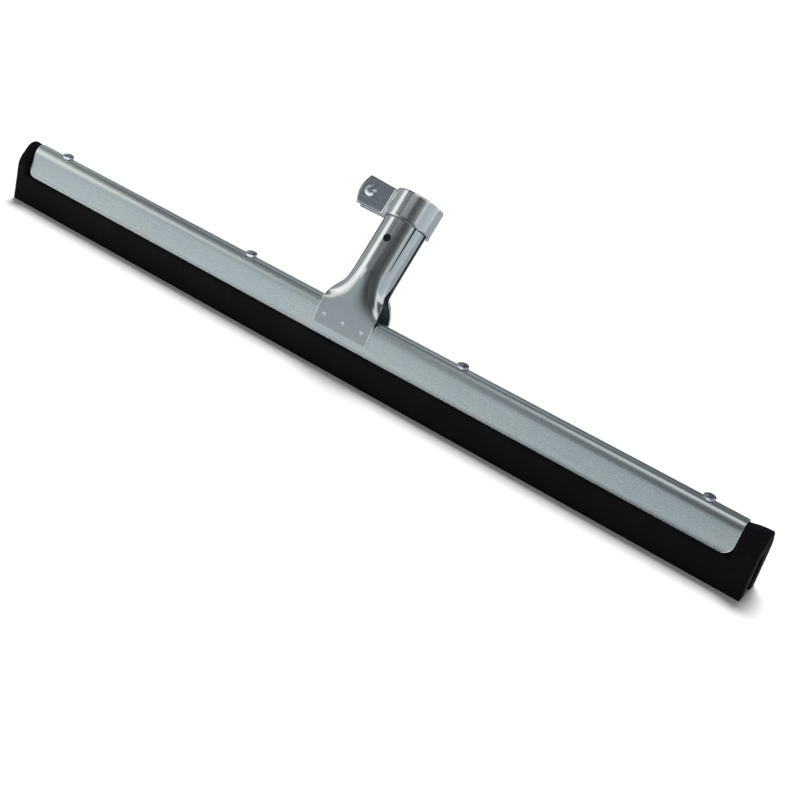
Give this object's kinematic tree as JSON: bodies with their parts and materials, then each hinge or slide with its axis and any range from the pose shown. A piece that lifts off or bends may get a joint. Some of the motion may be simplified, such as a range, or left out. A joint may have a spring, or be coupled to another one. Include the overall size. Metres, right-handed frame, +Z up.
{
  "type": "floor squeegee",
  "caption": "Floor squeegee head: double-lip black rubber blade in a riveted zinc-plated steel channel, with a tilted two-shell handle socket and strap clamp.",
  "frame": {"origin": "on the floor under the lips, at the middle of the object's length and of its depth from front lip to clamp", "axes": "+X along the blade to the right, +Y to the back, the way the socket leans, +Z up from the floor"},
  "size_m": [0.55, 0.0722, 0.1101],
  "materials": {
    "channel_zinc": "satin",
    "blade_rubber": "matte",
    "strip_steel": "satin",
    "rivet_steel": "satin",
    "socket_zinc": "satin",
    "clamp_zinc": "satin",
    "fastener_zinc": "satin"
  },
  "bodies": {
    "head": {"channel": "channel_zinc", "rubber_blade": "blade_rubber", "retaining_strip": "strip_steel", "rivet_1": "rivet_steel", "rivet_2": "rivet_steel", "rivet_3": "rivet_steel", "rivet_4": "rivet_steel", "front_socket_shell": "socket_zinc", "rear_socket_shell": "socket_zinc"},
    "clamp": {"clamp_band": "clamp_zinc"},
    "screw": {"clamp_screw": "fastener_zinc"},
    "nut": {"clamp_nut": "fastener_zinc"}
  },
  "joints": [
    {"name": "clamp_swivel", "type": "hinge", "parent": "head", "child": "clamp", "pos_m": [-0.003, 0.0178, 0.09372], "axis": [0, 0.5736, 0.8192], "continuous": true},
    {"name": "screw_turn", "type": "hinge", "parent": "clamp", "child": "screw", "pos_m": [-0.0345, 0.01878, 0.09511], "axis": [0, -0.8192, 0.5736], "range_deg": [0, 1800]},
    {"name": "nut_travel", "type": "slide", "parent": "clamp", "child": "nut", "axis": [0, 0.8192, -0.5736], "range_m": [0, 0.0035]}
  ],
  "couplings": [
    {"joint": "nut_travel", "follows": "screw_turn", "m_per_rad": 0.00011141}
  ]
}
